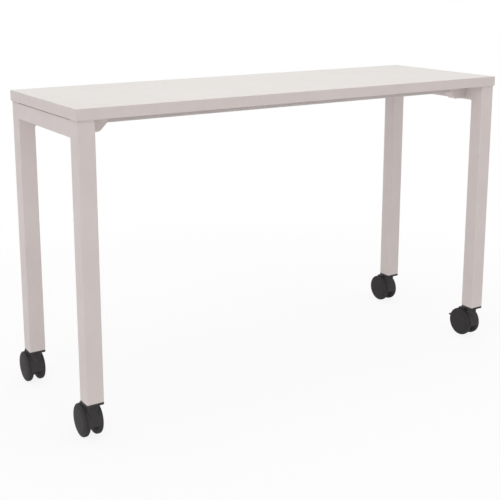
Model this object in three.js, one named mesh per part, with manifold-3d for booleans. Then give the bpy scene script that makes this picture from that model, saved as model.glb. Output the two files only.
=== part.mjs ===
// Flip top training table: a laminated board hinged at the back of a square tube frame on twin-wheel casters.
// Millimetres, +Z up, +X along the table, +Y towards the hinge side. The floor is z = 0.
import * as THREE from "three";
import { mergeVertices } from "three/addons/utils/BufferGeometryUtils.js";
import Module from "manifold-3d";

const wasm = await Module();
wasm.setup();

// Driving dimensions
const TOP_LENGTH = 1200;
const TOP_DEPTH = 400;
const TOP_THICKNESS = 25;
const TABLE_HEIGHT = 737;
const EDGE_BAND = 2;
const TOP_OVERHANG = 3;
const LEG = 40;
const TUBE_WALL = 2;
const TUBE_CORNER = 2.5;
const LEG_BOTTOM = 90;
const CROSSBAR_DROP = 2;
const CROSSBAR_HEIGHT = 38;
const CLEARANCE = 0.3;

// Front latch: two housings under the board, the bar that joins them, and a bolt in each housing
const LATCH_FRONT = 66;
const LATCH_DEPTH = 25;
const HOUSING_LENGTH = 56.5;
const HOUSING_DROP = 36.5;
const HOUSING_CHAMFER = 20;
const HOUSING_GAP = 0.5;
const BAR_THICKNESS = 10;
const BAR_DROP = 13.7;
const JOURNAL = 10;
const JOURNAL_LENGTH = 14;
const BOLT = 10;
const BOLT_DROP = 28;
const BOLT_LENGTH = 31;
const BOLT_SETBACK = 1;

// Rear hinge: a bracket on each rear leg, a pin, and a leaf under the board
const PIVOT_INSET = 8;
const PIVOT_DROP = 14;
const PIN = 8;
const PIN_HEAD = 12;
const LUG_RADIUS = 8;
const LUG_WIDTH = 10;
const BRACKET_PLATE = 4;
const COLLAR = 3;
const LEAF_PLATE = 3;
const LEAF_DEPTH = 86;
const LEAF_WIDTH = 32;

// Stretcher between the two end frames
const STRETCHER_DEPTH = 38;
const STRETCHER_HEIGHT = 30;
const STRETCHER_DROP = 11;
const STRETCHER_FROM_BACK = 62;

// Casters
const WHEEL_APOTHEM = 38;
const WHEEL_SIDES = 28;
const TRAIL = 25;
const WEB_HALF = 6;
const WHEEL_OUT = 24;
const AXLE = 6;
const STEM = 8;
const STEM_COLLAR = 18;
const SOCKET_FLANGE = 6;
const HOOD_TOP = 81;
const FENDER_INNER = 39.3;
const FENDER_OUTER = 41.3;
const FENDER_HALF = 16;
const FENDER_BACK = 76;
const FENDER_FRONT = 186;
const WEB_RADIUS = 25;
const LEVER_REACH = 18;
const LEVER_RISE = 3;
const LEVER_HALF = 2.7;
const PEDAL_REACH = 56;
const PEDAL_HALF = 6.5;
const PEDAL_THICKNESS = 3;
const KNUCKLE = 3.2;
const LEVER_PIN = 1.3;

// Derived places
const UNDERSIDE = TABLE_HEIGHT - TOP_THICKNESS;
const LEG_X = TOP_LENGTH / 2 - TOP_OVERHANG - LEG / 2;
const LEG_Y = TOP_DEPTH / 2 - TOP_OVERHANG - LEG / 2;
const LEG_IN_X = LEG_X - LEG / 2;
const CAP_PLATE = 3;
const CAP_PAD = 1;
const LEG_TOP = UNDERSIDE - CAP_PAD - CAP_PLATE;
const LATCH_Y0 = -TOP_DEPTH / 2 + LATCH_FRONT;
const LATCH_Y1 = LATCH_Y0 + LATCH_DEPTH;
const LATCH_Y = (LATCH_Y0 + LATCH_Y1) / 2;
const BAR_Z = UNDERSIDE - BAR_DROP;
const BOLT_Z = UNDERSIDE - BOLT_DROP;
const HOUSING_OUT = LEG_IN_X - HOUSING_GAP;
const HOUSING_IN = HOUSING_OUT - HOUSING_LENGTH;
const PIVOT_Y = TOP_DEPTH / 2 - PIVOT_INSET;
const PIVOT_Z = UNDERSIDE - PIVOT_DROP;
const BRACKET_IN = LEG_IN_X - BRACKET_PLATE;
const REAR_REACH = LEG_Y + TRAIL + WHEEL_APOTHEM;
const CENTRE_Y = -(REAR_REACH - TOP_DEPTH / 2) / 2;

// Finishes
const FINISH = {
  laminate: { color: 0xe5e1dd, roughness: 0.5, metalness: 0 },
  edge: { color: 0xcfc5c2, roughness: 0.5, metalness: 0 },
  coat: { color: 0xcabfbd, roughness: 0.45, metalness: 0.1 },
  cap: { color: 0xc4bab8, roughness: 0.6, metalness: 0 },
  steel: { color: 0xa8a8aa, roughness: 0.3, metalness: 0.9 },
  caster: { color: 0x3d3b3c, roughness: 0.5, metalness: 0 },
  tread: { color: 0x343333, roughness: 0.7, metalness: 0 },
};

// A three.js geometry as a closed solid, with seams merged and collapsed triangles at a pole left out.
function solid(geometry) {
  const loose = geometry.index ? geometry.toNonIndexed() : geometry;
  const bare = new THREE.BufferGeometry();
  bare.setAttribute("position", loose.getAttribute("position"));
  const merged = mergeVertices(bare, 1e-4);
  const corners = merged.index.array;
  const kept = [];
  for (let i = 0; i < corners.length; i += 3) {
    const [a, b, c] = corners.slice(i, i + 3);
    if (a !== b && b !== c && a !== c) kept.push(a, b, c);
  }
  const build = (triangles) =>
    new wasm.Manifold(
      new wasm.Mesh({
        numProp: 3,
        vertProperties: merged.attributes.position.array,
        triVerts: new Uint32Array(triangles),
      }),
    );
  const made = build(kept);
  return made.volume() > 0 ? made : build(kept.reverse());
}

// A solid as three.js geometry with flat facets.
function geometryOf(made) {
  const mesh = made.getMesh();
  const geometry = new THREE.BufferGeometry();
  const stride = mesh.numProp;
  const places = new Float32Array(mesh.numVert * 3);
  for (let i = 0; i < mesh.numVert; i++)
    places.set(mesh.vertProperties.subarray(i * stride, i * stride + 3), i * 3);
  geometry.setAttribute("position", new THREE.BufferAttribute(places, 3));
  geometry.setIndex(new THREE.BufferAttribute(mesh.triVerts, 1));
  const faceted = geometry.toNonIndexed();
  faceted.computeVertexNormals();
  return faceted;
}

const join = (...solids) => wasm.Manifold.union(solids);
const cut = (body, ...tools) =>
  tools.reduce((left, tool) => left.subtract(tool), body);

// A box between two limits on each axis, given in either order.
function block([x0, x1], [y0, y1], [z0, z1]) {
  const size = [x1 - x0, y1 - y0, z1 - z0].map(Math.abs);
  const box = new THREE.BoxGeometry(...size);
  return solid(
    box.translate((x0 + x1) / 2, (y0 + y1) / 2, (z0 + z1) / 2),
  );
}

// A turned piece about an axis parallel to X: profile points are [distance along X, radius].
function turnedX(profile, y, z, sides = 16) {
  const points = profile.map(([along, radius]) => new THREE.Vector2(radius, along));
  const lathe = new THREE.LatheGeometry(points, sides, Math.PI / sides);
  return solid(lathe.rotateZ(-Math.PI / 2).translate(0, y, z));
}

// A turned piece about an upright axis: profile points are [height, radius].
function turnedZ(profile, x, y, sides = 20) {
  const points = profile.map(([height, radius]) => new THREE.Vector2(radius, height));
  const lathe = new THREE.LatheGeometry(points, sides, Math.PI / sides);
  return solid(lathe.rotateX(Math.PI / 2).translate(x, y, 0));
}

const rodX = (x0, x1, y, z, radius, sides = 16) =>
  turnedX([[x0, 0], [x0, radius], [x1, radius], [x1, 0]], y, z, sides);
const rodZ = (z0, z1, x, y, radius, sides = 20) =>
  turnedZ([[z0, 0], [z0, radius], [z1, radius], [z1, 0]], x, y, sides);

// Extrusions of a flat outline: drawn in (y, z) and run along X, in (x, z) along Y, in (x, y) along Z.
function alongX(shape, x0, x1, curveSegments = 12) {
  const run = { depth: Math.abs(x1 - x0), bevelEnabled: false, curveSegments };
  const turn = new THREE.Matrix4().makeBasis(
    new THREE.Vector3(0, 1, 0),
    new THREE.Vector3(0, 0, 1),
    new THREE.Vector3(1, 0, 0),
  );
  const geometry = new THREE.ExtrudeGeometry(shape, run).applyMatrix4(turn);
  return solid(geometry.translate(Math.min(x0, x1), 0, 0));
}

function alongY(shape, y0, y1, curveSegments = 4) {
  const run = { depth: y1 - y0, bevelEnabled: false, curveSegments };
  const geometry = new THREE.ExtrudeGeometry(shape, run).rotateX(Math.PI / 2);
  return solid(geometry.translate(0, y1, 0));
}

function alongZ(shape, z0, z1, curveSegments = 2) {
  const run = { depth: z1 - z0, bevelEnabled: false, curveSegments };
  return solid(new THREE.ExtrudeGeometry(shape, run).translate(0, 0, z0));
}

// A rectangle with rounded corners about a centre.
function rounded(shape, cx, cy, width, height, radius) {
  const [x0, x1] = [cx - width / 2, cx + width / 2];
  const [y0, y1] = [cy - height / 2, cy + height / 2];
  shape.moveTo(x0 + radius, y0);
  shape.lineTo(x1 - radius, y0);
  shape.absarc(x1 - radius, y0 + radius, radius, -Math.PI / 2, 0);
  shape.lineTo(x1, y1 - radius);
  shape.absarc(x1 - radius, y1 - radius, radius, 0, Math.PI / 2);
  shape.lineTo(x0 + radius, y1);
  shape.absarc(x0 + radius, y1 - radius, radius, Math.PI / 2, Math.PI);
  shape.lineTo(x0, y0 + radius);
  shape.absarc(x0 + radius, y0 + radius, radius, Math.PI, Math.PI * 1.5);
  return shape;
}

// The outline of a tube's wall.
function tubeOutline(cx, cy, width, height) {
  const outline = rounded(new THREE.Shape(), cx, cy, width, height, TUBE_CORNER);
  const inner = TUBE_CORNER - TUBE_WALL;
  const bore = [width - 2 * TUBE_WALL, height - 2 * TUBE_WALL];
  outline.holes.push(rounded(new THREE.Path(), cx, cy, ...bore, inner));
  return outline;
}

const root = new THREE.Group();
root.name = "flip_top_training_table";
const table = new THREE.Group();
table.name = "table";
table.position.y = CENTRE_Y;
root.add(table);

function add(name, made, finish, group = table) {
  const material = new THREE.MeshStandardMaterial({ ...FINISH[finish], flatShading: true });
  const mesh = new THREE.Mesh(geometryOf(made), material);
  mesh.name = name;
  group.add(mesh);
  return mesh;
}

// Board with its laminate faces, and the plastic band glued round its edge
function boardSolid() {
  const [x, y] = [TOP_LENGTH / 2 - EDGE_BAND, TOP_DEPTH / 2 - EDGE_BAND];
  return block([-x, x], [-y, y], [UNDERSIDE, TABLE_HEIGHT]);
}

function edgeBandSolid() {
  const [x, y] = [TOP_LENGTH / 2, TOP_DEPTH / 2];
  const outer = block([-x, x], [-y, y], [UNDERSIDE, TABLE_HEIGHT]);
  const opening = block(
    [-x + EDGE_BAND, x - EDGE_BAND],
    [-y + EDGE_BAND, y - EDGE_BAND],
    [UNDERSIDE - 1, TABLE_HEIGHT + 1],
  );
  return cut(outer, opening);
}

// Leg tube, the cap in its top that the board rests on, and the black socket in its foot.
// A rear cap's pad is small, so that the board's back edge can swing down past it.
function legSolid(x, y) {
  return alongZ(tubeOutline(x, y, LEG, LEG), LEG_BOTTOM, LEG_TOP);
}

function plugOutline(x, y) {
  const width = LEG - 2 * TUBE_WALL - 2 * CLEARANCE;
  return rounded(new THREE.Shape(), x, y, width, width, 1);
}

function capSolid(x, y, hinged) {
  const padHalf = 10;
  const padForward = 6;
  const plugDepth = 16;
  const plateTop = LEG_TOP + CAP_PLATE;
  const padTop = plateTop + CAP_PAD;
  const plate = rounded(new THREE.Shape(), x, y, LEG, LEG, TUBE_CORNER);
  const plug = alongZ(plugOutline(x, y), LEG_TOP - plugDepth, LEG_TOP, 1);
  if (!hinged) return join(plug, alongZ(plate, LEG_TOP, padTop));
  const pad = block(
    [x - padHalf, x + padHalf],
    [y - padForward - padHalf, y - padForward + padHalf],
    [plateTop, padTop],
  );
  return join(plug, alongZ(plate, LEG_TOP, plateTop), pad);
}

function socketSolid(x, y) {
  const plugHeight = 26;
  const flange = rounded(new THREE.Shape(), x, y, LEG, LEG, TUBE_CORNER);
  const foot = LEG_BOTTOM - SOCKET_FLANGE;
  const body = join(
    alongZ(flange, foot, LEG_BOTTOM),
    alongZ(plugOutline(x, y), LEG_BOTTOM, LEG_BOTTOM + plugHeight, 1),
  );
  return cut(body, rodZ(foot - 1, LEG_BOTTOM + plugHeight + 1, x, y, STEM / 2 + CLEARANCE, 12));
}

// Crossbar of one end frame, with the latch bolt's square hole in its inner wall
function crossbarSolid(side) {
  const bottom = UNDERSIDE - CROSSBAR_DROP - CROSSBAR_HEIGHT;
  const top = UNDERSIDE - CROSSBAR_DROP;
  const end = LEG_Y - LEG / 2;
  const outline = tubeOutline(side * LEG_X, (bottom + top) / 2, LEG, CROSSBAR_HEIGHT);
  const half = BOLT / 2 + 2 * CLEARANCE;
  const hole = block(
    [side * (LEG_IN_X - 2), side * (LEG_IN_X + TUBE_WALL + 1)],
    [LATCH_Y - half, LATCH_Y + half],
    [BOLT_Z - half, BOLT_Z + half],
  );
  return cut(alongY(outline, -end, end, 2), hole);
}

// Stretcher tube and the plate welded on each of its ends
const STRETCHER_Y1 = TOP_DEPTH / 2 - STRETCHER_FROM_BACK;
const STRETCHER_Y0 = STRETCHER_Y1 - STRETCHER_DEPTH;
const STRETCHER_Z1 = UNDERSIDE - STRETCHER_DROP;
const STRETCHER_Z0 = STRETCHER_Z1 - STRETCHER_HEIGHT;

function stretcherSolid() {
  const [cy, cz] = [(STRETCHER_Y0 + STRETCHER_Y1) / 2, (STRETCHER_Z0 + STRETCHER_Z1) / 2];
  const outline = tubeOutline(cy, cz, STRETCHER_DEPTH, STRETCHER_HEIGHT);
  return alongX(outline, -BRACKET_IN, BRACKET_IN, 2);
}

function endPlateSolid(side) {
  const wing = 16;
  const plate = block(
    [side * BRACKET_IN, side * LEG_IN_X],
    [STRETCHER_Y0 - wing, STRETCHER_Y1 + wing],
    [STRETCHER_Z0 + 2, STRETCHER_Z1 + 2],
  );
  return plate;
}

// Rear hinge: fixed bracket, pin with its collar, moving leaf
function bracketSolid(side) {
  const [x0, x1] = [side * BRACKET_IN, side * LEG_IN_X];
  const front = LEG_Y - LEG / 2 + 8;
  const foot = UNDERSIDE - 62;
  const plate = block([x0, x1], [front, PIVOT_Y], [foot, PIVOT_Z]);
  const lug = rodX(Math.min(x0, x1), Math.max(x0, x1), PIVOT_Y, PIVOT_Z, LUG_RADIUS, 20);
  const neck = block([x0, x1], [PIVOT_Y - LUG_RADIUS, PIVOT_Y], [PIVOT_Z - 14, PIVOT_Z + 6]);
  const bore = rodX(-LEG_IN_X - 5, LEG_IN_X + 5, PIVOT_Y, PIVOT_Z, PIN / 2 + CLEARANCE, 12);
  return cut(join(plate, lug, neck), bore);
}

function pinSolid(side) {
  const collarIn = BRACKET_IN - COLLAR;
  const headOut = collarIn - LUG_WIDTH - 2 * CLEARANCE;
  const profile = [
    [LEG_IN_X, 0],
    [LEG_IN_X, PIN / 2],
    [BRACKET_IN, PIN / 2],
    [BRACKET_IN, PIN_HEAD / 2],
    [collarIn, PIN_HEAD / 2],
    [collarIn, PIN / 2],
    [headOut, PIN / 2],
    [headOut, PIN_HEAD / 2],
    [headOut - COLLAR, PIN_HEAD / 2],
    [headOut - COLLAR, 0],
  ];
  const placed = profile.map(([along, radius]) => [side * along, radius]);
  return turnedX(placed, PIVOT_Y, PIVOT_Z, 12);
}

function leafSolid(side) {
  const lugOut = BRACKET_IN - COLLAR;
  const lugIn = lugOut - LUG_WIDTH;
  const plateOut = lugOut + 1;
  const back = PIVOT_Y + 4;
  const plate = block(
    [side * (plateOut - LEAF_WIDTH), side * plateOut],
    [back - LEAF_DEPTH, back],
    [UNDERSIDE - LEAF_PLATE, UNDERSIDE],
  );
  const neck = block(
    [side * lugIn, side * lugOut],
    [PIVOT_Y - LUG_RADIUS, back],
    [PIVOT_Z, UNDERSIDE - LEAF_PLATE],
  );
  const [x0, x1] = [side * lugIn, side * lugOut];
  const lug = rodX(Math.min(x0, x1), Math.max(x0, x1), PIVOT_Y, PIVOT_Z, LUG_RADIUS, 20);
  const bore = rodX(-LEG_IN_X, LEG_IN_X, PIVOT_Y, PIVOT_Z, PIN / 2 + CLEARANCE, 12);
  return cut(join(plate, neck, lug), bore);
}

// Hexagon bolt that holds a hinge bracket to its leg: a head on the bracket's inner face
function bracketBoltSolid(side, y, z) {
  const headRadius = 6.5;
  const headHeight = 3.5;
  const ends = [side * BRACKET_IN, side * (BRACKET_IN - headHeight)];
  return rodX(Math.min(...ends), Math.max(...ends), y, z, headRadius, 6);
}

// Front latch: housing fixed under the board, square bolt, and the bar that joins the two sides
function housingSolid(side) {
  const bottom = UNDERSIDE - HOUSING_DROP;
  const chamferTop = bottom + HOUSING_CHAMFER;
  const chamferX = HOUSING_IN + HOUSING_CHAMFER;
  const round = 4;
  const diagonal = round * Math.SQRT1_2;
  const outline = new THREE.Shape();
  outline.moveTo(side * HOUSING_OUT, UNDERSIDE);
  outline.lineTo(side * HOUSING_OUT, bottom);
  outline.lineTo(side * (chamferX + round), bottom);
  outline.quadraticCurveTo(
    side * chamferX,
    bottom,
    side * (chamferX - diagonal),
    bottom + diagonal,
  );
  outline.lineTo(side * HOUSING_IN, chamferTop);
  outline.lineTo(side * HOUSING_IN, UNDERSIDE);
  const body = alongY(outline, LATCH_Y0, LATCH_Y1);
  const journalEnd = HOUSING_IN + JOURNAL_LENGTH + 1;
  const journalStart = HOUSING_IN - 1;
  const ends = [side * journalStart, side * journalEnd];
  const journal = rodX(Math.min(...ends), Math.max(...ends), LATCH_Y, BAR_Z, JOURNAL / 2 + CLEARANCE, 12);
  const half = BOLT / 2;
  const pocketIn = HOUSING_OUT - BOLT_SETBACK - BOLT_LENGTH - 4;
  const pocket = block(
    [side * pocketIn, side * (HOUSING_OUT + 1)],
    [LATCH_Y - half - CLEARANCE, LATCH_Y + half + CLEARANCE],
    [BOLT_Z - half, BOLT_Z + half + CLEARANCE],
  );
  return cut(body, journal, pocket);
}

function boltSolid(side) {
  const tip = HOUSING_OUT - BOLT_SETBACK + HOUSING_GAP;
  const half = BOLT / 2;
  const bevel = 2;
  const outline = new THREE.Shape();
  outline.moveTo(side * (tip - BOLT_LENGTH), BOLT_Z - half);
  outline.lineTo(side * (tip - bevel), BOLT_Z - half);
  outline.lineTo(side * tip, BOLT_Z - half + bevel);
  outline.lineTo(side * tip, BOLT_Z + half - bevel);
  outline.lineTo(side * (tip - bevel), BOLT_Z + half);
  outline.lineTo(side * (tip - BOLT_LENGTH), BOLT_Z + half);
  return alongY(outline, LATCH_Y - half, LATCH_Y + half);
}

function lockBarSolid() {
  const outline = rounded(new THREE.Shape(), LATCH_Y, BAR_Z, LATCH_DEPTH, BAR_THICKNESS, 3);
  const bar = alongX(outline, -HOUSING_IN, HOUSING_IN, 2);
  const end = HOUSING_IN + JOURNAL_LENGTH;
  return join(bar, rodX(-end, end, LATCH_Y, BAR_Z, JOURNAL / 2, 12));
}

// Caster pieces, drawn about the stem's axis on the floor with the axle trailing towards +Y
const degrees = THREE.MathUtils.degToRad;
const LEVER_Y = TRAIL + LEVER_REACH;
const LEVER_Z = WHEEL_APOTHEM + LEVER_RISE;

function sector(inner, outer, from, to) {
  const outline = new THREE.Shape();
  const [a, b] = [degrees(from), degrees(to)];
  outline.absarc(TRAIL, WHEEL_APOTHEM, outer, a, b);
  if (inner > 0) outline.absarc(TRAIL, WHEEL_APOTHEM, inner, b, a, true);
  else outline.lineTo(TRAIL, WHEEL_APOTHEM);
  return outline;
}

function hoodSolid(braked) {
  const bossRadius = 13;
  const bossFoot = 58;
  const stemFoot = 54;
  const wheelSpace = rodX(-30, 30, TRAIL, WHEEL_APOTHEM, FENDER_INNER, 24);
  const boss = cut(rodZ(bossFoot, HOOD_TOP, 0, 0, bossRadius, 14), wheelSpace);
  const fender = sector(FENDER_INNER, FENDER_OUTER, FENDER_BACK, FENDER_FRONT);
  const web = sector(0, FENDER_INNER + 1, FENDER_BACK, FENDER_FRONT);
  const pieces = [
    boss,
    alongX(fender, -FENDER_HALF, FENDER_HALF, 5),
    alongX(web, -WEB_HALF, WEB_HALF, 5),
    rodX(-WEB_HALF, WEB_HALF, TRAIL, WHEEL_APOTHEM, WEB_RADIUS, 16),
  ];
  const tools = [
    rodX(-WEB_HALF - 1, WEB_HALF + 1, TRAIL, WHEEL_APOTHEM, AXLE / 2 + CLEARANCE, 12),
    rodZ(stemFoot, HOOD_TOP + 1, 0, 0, STEM / 2 + CLEARANCE, 12),
  ];
  if (braked) {
    const slotHalf = LEVER_HALF + CLEARANCE;
    const room = KNUCKLE + 2 * CLEARANCE;
    const slot = [LEVER_Y - room, TRAIL + WEB_RADIUS + 1];
    const drop = 2;
    tools.push(block([-slotHalf, slotHalf], slot, [LEVER_Z - room - drop, LEVER_Z + room]));
    tools.push(rodX(-WEB_HALF - 1, WEB_HALF + 1, LEVER_Y, LEVER_Z, LEVER_PIN + CLEARANCE, 8));
  }
  return cut(join(...pieces), ...tools);
}

// Brake lever: a narrow arm that turns on a pin in the hood's web, and a wider pad behind the wheels
function pedalSolid() {
  const padStart = TRAIL + FENDER_INNER + 1;
  const padEnd = TRAIL + PEDAL_REACH;
  const height = [LEVER_Z - PEDAL_THICKNESS / 2, LEVER_Z + PEDAL_THICKNESS / 2];
  const pinEnd = WEB_HALF - CLEARANCE;
  return join(
    block([-LEVER_HALF, LEVER_HALF], [LEVER_Y, padEnd], height),
    block([-PEDAL_HALF, PEDAL_HALF], [padStart, padEnd], height),
    rodX(-LEVER_HALF, LEVER_HALF, LEVER_Y, LEVER_Z, KNUCKLE, 10),
    rodX(-pinEnd, pinEnd, LEVER_Y, LEVER_Z, LEVER_PIN, 8),
  );
}

function stemSolid() {
  const stemFoot = 55;
  const stemTop = LEG_BOTTOM + 22;
  const collarTop = LEG_BOTTOM - SOCKET_FLANGE;
  const profile = [
    [stemFoot, 0],
    [stemFoot, STEM / 2],
    [HOOD_TOP, STEM / 2],
    [HOOD_TOP, STEM_COLLAR / 2],
    [collarTop, STEM_COLLAR / 2],
    [collarTop, STEM / 2],
    [stemTop, STEM / 2],
    [stemTop, 0],
  ];
  return turnedZ(profile, 0, 0, 12);
}

function axleSolid() {
  const half = WHEEL_OUT - 3;
  return rodX(-half, half, TRAIL, WHEEL_APOTHEM, AXLE / 2, 12);
}

// Each wheel stands on one flat facet, so its corner radius is a little more than its apothem.
function wheelSolid(side) {
  const radius = WHEEL_APOTHEM / Math.cos(Math.PI / WHEEL_SIDES);
  const boreEnd = WHEEL_OUT - 2.5;
  const profile = [
    [boreEnd, 0],
    [boreEnd, AXLE / 2 + CLEARANCE],
    [WEB_HALF, AXLE / 2 + CLEARANCE],
    [WEB_HALF, radius - 11],
    [8.5, radius - 4],
    [12, radius],
    [WHEEL_OUT - 4.5, radius],
    [WHEEL_OUT - 2.2, radius - 3.5],
    [WHEEL_OUT - 0.7, radius - 12],
    [WHEEL_OUT, 12],
    [WHEEL_OUT, 0],
  ];
  const placed = profile.map(([along, r]) => [side * along, r]);
  return turnedX(placed, TRAIL, WHEEL_APOTHEM, WHEEL_SIDES);
}

// The table put together
add("worktop_board", boardSolid(), "laminate");
add("edge_band", edgeBandSolid(), "edge");
add("lock_bar", lockBarSolid(), "coat");
add("stretcher", stretcherSolid(), "coat");

for (const [word, side] of [["left", -1], ["right", 1]]) {
  add(`crossbar_${word}`, crossbarSolid(side), "coat");
  add(`stretcher_plate_${word}`, endPlateSolid(side), "coat");
  add(`hinge_bracket_${word}`, bracketSolid(side), "coat");
  add(`hinge_pin_${word}`, pinSolid(side), "steel");
  add(`hinge_leaf_${word}`, leafSolid(side), "steel");
  add(`latch_housing_${word}`, housingSolid(side), "coat");
  add(`latch_bolt_${word}`, boltSolid(side), "steel");
  const boltY = LEG_Y + 1;
  add(`hinge_bolt_upper_${word}`, bracketBoltSolid(side, boltY, UNDERSIDE - 38), "steel");
  add(`hinge_bolt_lower_${word}`, bracketBoltSolid(side, boltY, UNDERSIDE - 54), "steel");
}

for (const [row, end] of [["front", -1], ["rear", 1]]) {
  for (const [word, side] of [["left", -1], ["right", 1]]) {
    const [x, y] = [side * LEG_X, end * LEG_Y];
    const place = `${row}_${word}`;
    add(`leg_${place}`, legSolid(x, y), "coat");
    add(`leg_cap_${place}`, capSolid(x, y, row === "rear"), "cap");
    add(`caster_socket_${place}`, socketSolid(x, y), "caster");
    const caster = new THREE.Group();
    caster.name = `caster_${place}`;
    caster.position.set(x, y, 0);
    table.add(caster);
    add(`caster_stem_${place}`, stemSolid(), "steel", caster);
    add(`caster_hood_${place}`, hoodSolid(row === "front"), "caster", caster);
    add(`caster_axle_${place}`, axleSolid(), "steel", caster);
    add(`wheel_${place}_outer`, wheelSolid(side), "tread", caster);
    add(`wheel_${place}_inner`, wheelSolid(-side), "tread", caster);
    if (row === "front") add(`brake_pedal_${word}`, pedalSolid(), "caster", caster);
  }
}

export default root;
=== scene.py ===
import math

import bmesh
import bpy
from mathutils import Matrix, Vector


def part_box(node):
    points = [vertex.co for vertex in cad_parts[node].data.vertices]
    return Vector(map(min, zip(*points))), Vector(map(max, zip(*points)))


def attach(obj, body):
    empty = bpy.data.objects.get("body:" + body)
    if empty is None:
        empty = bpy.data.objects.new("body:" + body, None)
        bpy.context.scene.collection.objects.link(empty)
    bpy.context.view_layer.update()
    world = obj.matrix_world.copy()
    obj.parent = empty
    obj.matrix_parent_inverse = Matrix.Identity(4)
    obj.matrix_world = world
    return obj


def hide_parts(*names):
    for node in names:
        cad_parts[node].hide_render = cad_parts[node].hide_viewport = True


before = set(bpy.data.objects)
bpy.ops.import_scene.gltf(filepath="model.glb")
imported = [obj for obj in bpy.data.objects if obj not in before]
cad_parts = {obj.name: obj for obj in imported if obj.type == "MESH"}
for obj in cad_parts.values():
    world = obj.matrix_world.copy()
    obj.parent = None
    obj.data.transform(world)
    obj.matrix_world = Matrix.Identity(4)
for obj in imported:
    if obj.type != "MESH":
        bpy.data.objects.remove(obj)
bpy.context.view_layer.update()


# Four legs of square steel tube with small corner radii, powder coated in a warm off-white.
# Each is sawn square at both ends, with a cap in its top and a caster socket in its foot.
MM = 0.001
CORNERS = ["front_left", "front_right", "rear_left", "rear_right"]
LEG_CORNER = 2.5 * MM
LEG_WALL = 2.0 * MM
LEG_CORNER_STEPS = 8
COAT_COLOUR = (0.735, 0.655, 0.640)
COAT_SHADE = (0.705, 0.625, 0.610)
SAME_POINT = 1e-6
CREASE = 35.0
DRIFT_LOW = 0.35
DRIFT_HIGH = 0.65
MIX_FIRST = 6
MIX_SECOND = 7
MIX_COLOUR = 2


def add_node(tree, kind, **settings):
    """A shader node, with sockets set by name and other settings as attributes."""
    node = tree.nodes.new(kind)
    for key, value in settings.items():
        label = key.replace("_", " ").title()
        if label in node.inputs:
            node.inputs[label].default_value = value
        else:
            setattr(node, key, value)
    return node


def new_finish(name, roughness, metallic=0.0, sheen_level=0.5):
    """An empty material: its tree, its shader and the object coordinates that its patterns read."""
    material = bpy.data.materials.new(name)
    material.use_nodes = True
    tree = material.node_tree
    shader = tree.nodes["Principled BSDF"]
    shader.inputs["Roughness"].default_value = roughness
    shader.inputs["Metallic"].default_value = metallic
    shader.inputs["Specular IOR Level"].default_value = sheen_level
    place = tree.nodes.new("ShaderNodeTexCoord").outputs["Object"]
    return material, tree, shader, place


def mottle(tree, shader, place, light, dark, scale):
    """A slow drift between two close colours."""
    noise = add_node(tree, "ShaderNodeTexNoise", scale=scale, detail=3.0, roughness=0.6)
    ramp = add_node(tree, "ShaderNodeValToRGB")
    ramp.color_ramp.elements[0].position = DRIFT_LOW
    ramp.color_ramp.elements[1].position = DRIFT_HIGH
    ramp.color_ramp.elements[0].color = (*dark, 1.0)
    ramp.color_ramp.elements[1].color = (*light, 1.0)
    tree.links.new(place, noise.inputs["Vector"])
    tree.links.new(noise.outputs["Fac"], ramp.inputs["Fac"])
    tree.links.new(ramp.outputs["Color"], shader.inputs["Base Color"])
    return ramp


def uneven_gloss(tree, shader, place, smooth, rough, scale):
    """Roughness that wanders between two values."""
    noise = add_node(tree, "ShaderNodeTexNoise", scale=scale, detail=4.0)
    spread = add_node(tree, "ShaderNodeMapRange", from_min=0.3, from_max=0.7, to_min=smooth, to_max=rough)
    tree.links.new(place, noise.inputs["Vector"])
    tree.links.new(noise.outputs["Fac"], spread.inputs["Value"])
    tree.links.new(spread.outputs["Result"], shader.inputs["Roughness"])


def pitted(tree, shader, place, scale, depth, strength):
    """A fine random relief, such as orange peel or moulded grain."""
    noise = add_node(tree, "ShaderNodeTexNoise", scale=scale, detail=2.0)
    bump = add_node(tree, "ShaderNodeBump", strength=strength, distance=depth)
    tree.links.new(place, noise.inputs["Vector"])
    tree.links.new(noise.outputs["Fac"], bump.inputs["Height"])
    tree.links.new(bump.outputs["Normal"], shader.inputs["Normal"])


def powder_coat(name, light, dark):
    """Satin powder coat: fine orange peel, a slow drift of tone and of gloss."""
    material, tree, shader, place = new_finish(name, roughness=0.42)
    mottle(tree, shader, place, light, dark, scale=9.0)
    uneven_gloss(tree, shader, place, smooth=0.36, rough=0.50, scale=30.0)
    pitted(tree, shader, place, scale=650.0, depth=0.0003, strength=0.10)
    return material


def linked(name, data):
    """An object in the scene for a mesh, a lamp or a lens."""
    item = bpy.data.objects.new(name, data)
    bpy.context.scene.collection.objects.link(item)
    return item


def smooth_to(mesh, crease):
    """Smooth shading, with sharp edges where faces turn by more than the crease angle."""
    mesh.shade_smooth()
    mesh.set_sharp_from_angle(angle=math.radians(crease))


def make_piece(name, points, faces, material, crease=CREASE):
    """A mesh object from points and faces, merged, facing out, smooth up to the crease angle."""
    mesh = bpy.data.meshes.new(name)
    mesh.from_pydata(points, [], faces)
    work = bmesh.new()
    work.from_mesh(mesh)
    bmesh.ops.remove_doubles(work, verts=work.verts, dist=SAME_POINT)
    bmesh.ops.recalc_face_normals(work, faces=work.faces)
    work.to_mesh(mesh)
    work.free()
    smooth_to(mesh, crease)
    mesh.materials.append(material)
    return linked(name, mesh)


def level_flats(piece):
    """Keeps broad flat faces flat where they run into a rounded corner."""
    weighted = piece.modifiers.new("level_flats", "WEIGHTED_NORMAL")
    weighted.keep_sharp = True
    weighted.weight = 100


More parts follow.
